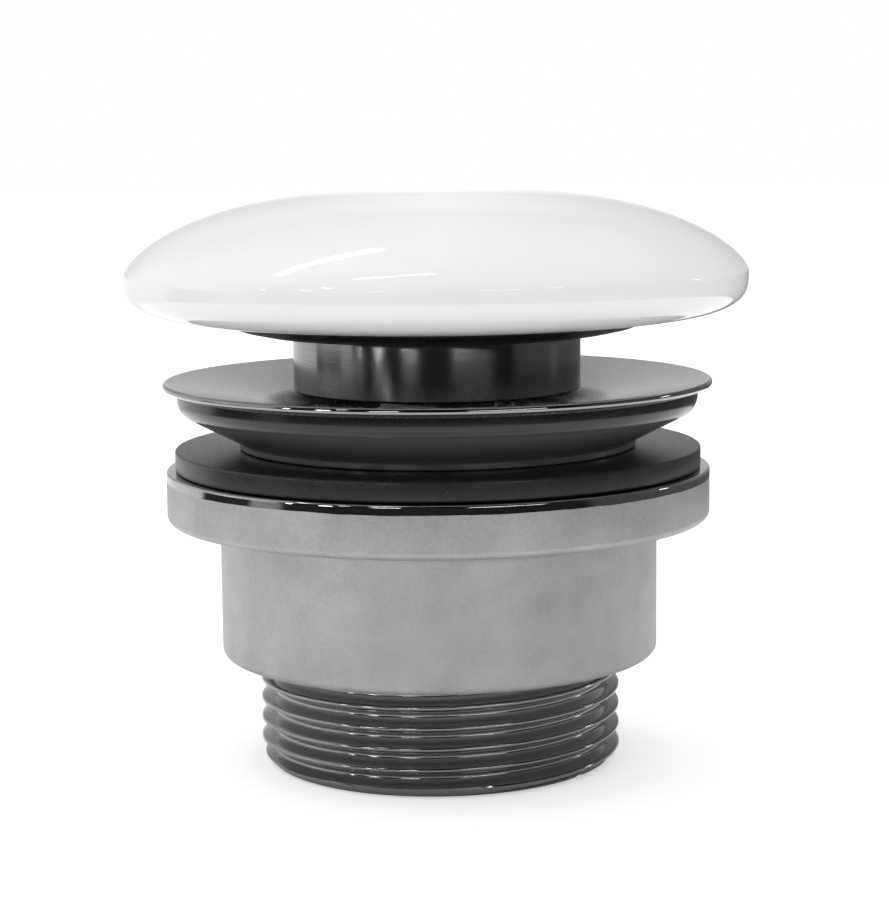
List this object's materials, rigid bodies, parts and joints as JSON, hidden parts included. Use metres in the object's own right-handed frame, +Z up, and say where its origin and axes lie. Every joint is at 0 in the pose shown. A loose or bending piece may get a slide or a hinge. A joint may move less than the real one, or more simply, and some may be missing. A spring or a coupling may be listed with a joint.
{
  "type": "free-flow basin waste",
  "caption": "Always-open basin waste: ceramic cap on a short neck over a dished flange, conical and flat seals, round backnut and threaded tail.",
  "frame": {"origin": "centre of the lower end of the threaded tail, the lowest point of the part", "axes": "+Z up along the bore, from the tail to the cap; the part is round, and -Y faces the picture's camera"},
  "size_m": [0.0712, 0.0712, 0.066],
  "materials": {
    "satin_metal": "satin turned dish, polished rim",
    "nut_metal": "satin turned, polished upper corner",
    "brushed_neck": "brushed along the axis",
    "black_rubber": "matte",
    "plated_steel": "zinc plated",
    "insert_brass": "turned",
    "white_glaze": "glossy white glaze"
  },
  "bodies": {
    "waste": {"waste_body": "satin_metal", "cross": "satin_metal", "upper_seal": "black_rubber", "centre_stud": "plated_steel", "spring_washer": "plated_steel", "lock_nut": "plated_steel"},
    "clamp_seal": {"lower_seal": "black_rubber"},
    "nut": {"backnut": "nut_metal"},
    "neck_sleeve": {"neck": "brushed_neck", "cap_gasket": "black_rubber"},
    "cap": {"cap_insert": "insert_brass", "retaining_ring": "plated_steel", "ceramic_cap": "white_glaze"}
  },
  "joints": [
    {"name": "seal_travel", "type": "slide", "parent": "waste", "child": "clamp_seal", "axis": [0, 0, 1], "range_m": [-0.0125, 0]},
    {"name": "nut_turn", "type": "hinge", "parent": "clamp_seal", "child": "nut", "pos_m": [0, 0, 0.0235], "axis": [0, 0, 1], "range_deg": [-1944, 0]},
    {"name": "neck_lift", "type": "slide", "parent": "waste", "child": "neck_sleeve", "axis": [0, 0, 1], "range_m": [0, 0.0096]},
    {"name": "cap_turn", "type": "hinge", "parent": "neck_sleeve", "child": "cap", "pos_m": [0, 0, 0.048], "axis": [0, 0, 1], "range_deg": [0, 2736]}
  ],
  "couplings": [
    {"joint": "seal_travel", "follows": "nut_turn", "m_per_rad": 0.00036749},
    {"joint": "neck_lift", "follows": "cap_turn", "m_per_rad": 0.00019894}
  ]
}
